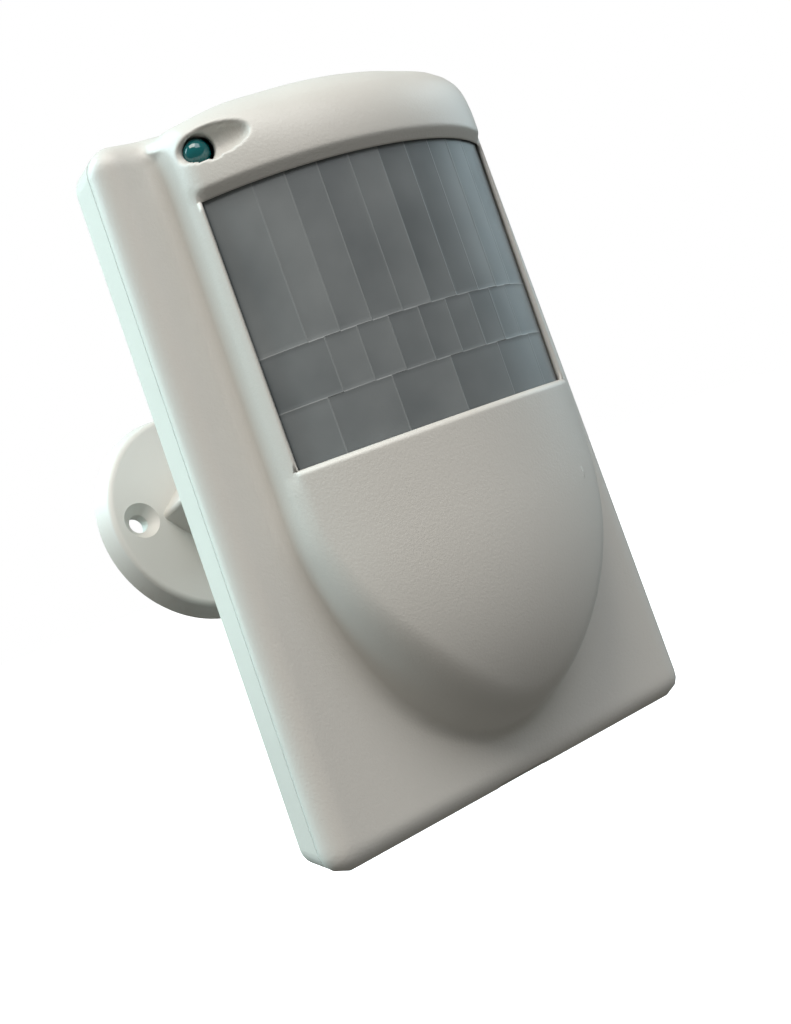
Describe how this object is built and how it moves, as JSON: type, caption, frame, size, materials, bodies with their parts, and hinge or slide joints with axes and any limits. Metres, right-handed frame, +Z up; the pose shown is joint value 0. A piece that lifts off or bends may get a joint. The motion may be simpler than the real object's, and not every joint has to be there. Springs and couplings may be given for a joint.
{
  "type": "passive infrared motion sensor",
  "caption": "Wall-mounted infrared motion sensor with a curved segmented lens, domed two-part housing and a ball-joint wall bracket.",
  "frame": {"origin": "centre of the rear cover's flat back face", "axes": "+Z up the housing, the lens faces -Y, +X to the right of a viewer who faces the lens; the wall plate is tilted in this frame because the detector is aimed down and aside"},
  "size_m": [0.0778, 0.1086, 0.12],
  "materials": {
    "bracket_plastic": "fine moulded texture, off-white",
    "pad_rubber": "matt black",
    "ball_plastic": "smooth off-white",
    "zinc_steel": "bright zinc plate",
    "housing_plastic": "fine moulded texture, off-white",
    "lens_film": "translucent grey film with fine lens ridges",
    "frame_plastic": "matt dark grey",
    "indicator_plastic": "dark green translucent",
    "board_laminate": "green solder resist",
    "sensor_can": "nickel plate",
    "infrared_filter": "dark mirror-like filter",
    "led_epoxy": "tinted clear epoxy",
    "chip_epoxy": "matt black moulding",
    "capacitor_can": "bare drawn can",
    "resistor_ceramic": "black coated ceramic",
    "relay_case": "ivory moulding",
    "pin_brass": "tinned brass",
    "jumper_plastic": "red moulding",
    "terminal_plastic": "green moulding",
    "plunger_plastic": "white moulding"
  },
  "bodies": {
    "wall_bracket": {"wall_plate": "bracket_plastic", "clamp_nut": "bracket_plastic"},
    "socket_pad": {"friction_pad": "pad_rubber"},
    "stud": {"ball_stud": "ball_plastic", "stud_washer": "zinc_steel", "stud_screw": "zinc_steel"},
    "detector": {"rear_cover": "housing_plastic", "circuit_board": "board_laminate", "board_screws": "zinc_steel", "pyro_sensor_can": "sensor_can", "pyro_sensor_window": "infrared_filter", "pyro_sensor_pins": "sensor_can", "sensor_spacer": "chip_epoxy", "status_led": "led_epoxy", "processor_chip": "chip_epoxy", "amplifier_chip": "chip_epoxy", "voltage_regulator": "chip_epoxy", "capacitors": "capacitor_can", "chip_resistors": "resistor_ceramic", "alarm_relay": "relay_case", "jumper_pins": "pin_brass", "jumper_caps": "jumper_plastic", "terminal_block": "terminal_plastic", "terminal_screws": "zinc_steel", "terminal_clamps": "pin_brass", "tamper_switch": "chip_epoxy"},
    "cover": {"front_cover": "housing_plastic", "fresnel_lens": "lens_film", "lens_frame": "frame_plastic", "status_lens": "indicator_plastic"},
    "tamper_button": {"tamper_plunger": "plunger_plastic"}
  },
  "joints": [
    {"name": "pan", "type": "hinge", "parent": "wall_bracket", "child": "socket_pad", "pos_m": [0, 0.0119, 0.0137], "axis": [-0.0432, 0.2034, 0.9781], "range_deg": [-15.7, 40.3]},
    {"name": "tilt", "type": "hinge", "parent": "socket_pad", "child": "stud", "pos_m": [0, 0.0119, 0.0137], "axis": [-0.999, 0, -0.0441], "range_deg": [-16.3, 39.7]},
    {"name": "roll", "type": "hinge", "parent": "stud", "child": "detector", "pos_m": [0, 0, 0.0137], "axis": [0, 1, 0], "range_deg": [-25, 25]},
    {"name": "cover_hinge", "type": "hinge", "parent": "detector", "child": "cover", "pos_m": [0, -0.0083, 0.06], "axis": [-1, 0, 0], "range_deg": [0, 60]},
    {"name": "tamper_travel", "type": "slide", "parent": "detector", "child": "tamper_button", "axis": [0, -1, 0], "range_m": [0, 0.0015]}
  ],
  "couplings": [
    {"joint": "tamper_travel", "follows": "cover_hinge", "m_per_rad": 0.00143}
  ]
}
